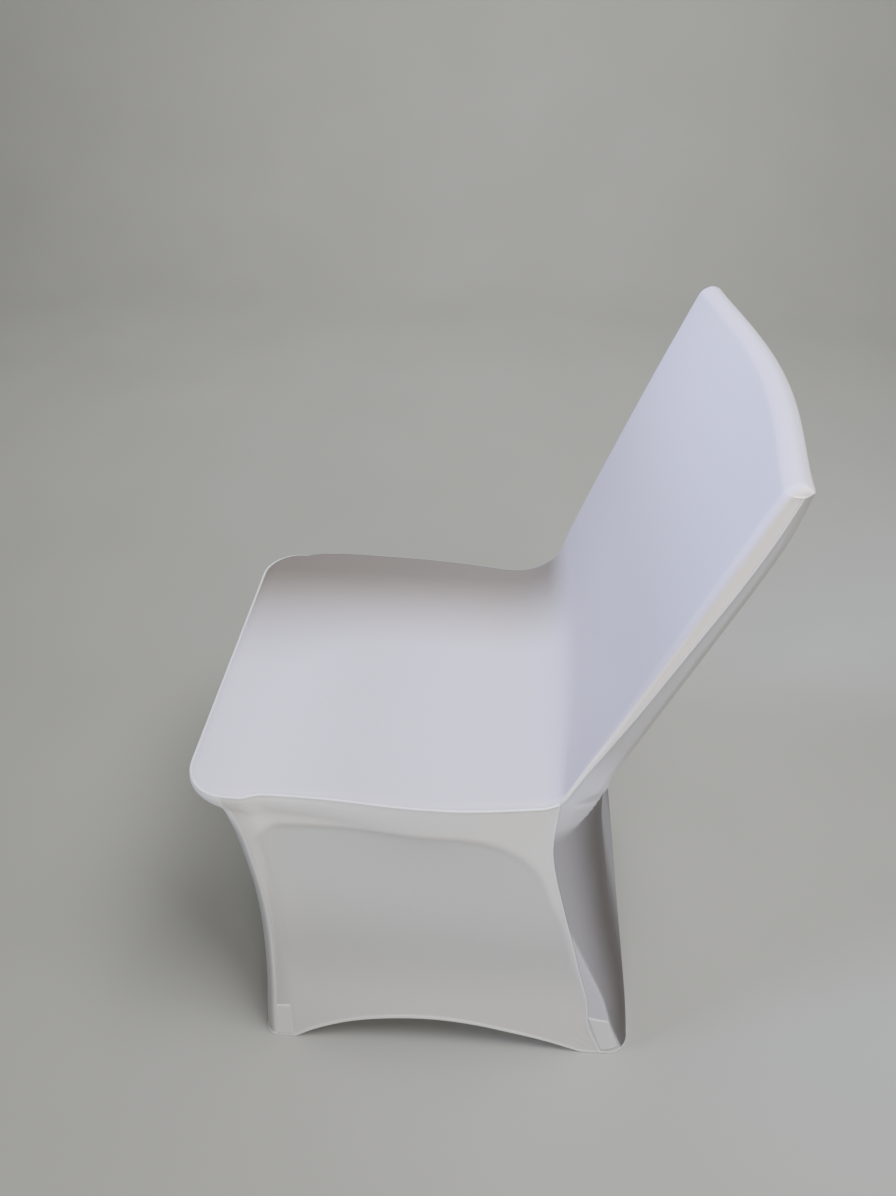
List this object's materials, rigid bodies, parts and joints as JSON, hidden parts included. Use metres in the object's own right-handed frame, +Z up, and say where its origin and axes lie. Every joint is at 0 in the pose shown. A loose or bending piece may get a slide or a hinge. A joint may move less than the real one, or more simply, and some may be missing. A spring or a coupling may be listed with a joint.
{
  "type": "fitted stretch chair cover",
  "caption": "Fitted white stretch-knit cover for a banquet chair, hollow, with arched hems and a cup for the end of each leg.",
  "frame": {"origin": "centre of the cover's box, on the floor", "axes": "+Z up, +X towards the sitter's left, -Y towards the front of the seat"},
  "size_m": [0.444, 0.5589, 0.856],
  "materials": {
    "knit_seat": "white polyester and elastane knit with a soft sheen",
    "knit_skirt": "white polyester and elastane knit with a soft sheen",
    "knit_rear": "white polyester and elastane knit with a soft sheen",
    "knit_cup": "doubled white knit, stitched"
  },
  "bodies": {
    "root": {"seat_back_panel": "knit_seat", "front_skirt": "knit_skirt", "side_skirt_left": "knit_skirt", "side_skirt_right": "knit_skirt", "rear_panel": "knit_rear", "foot_cup_front_left": "knit_cup", "foot_cup_front_right": "knit_cup", "foot_cup_rear_left": "knit_cup", "foot_cup_rear_right": "knit_cup"}
  },
  "joints": []
}
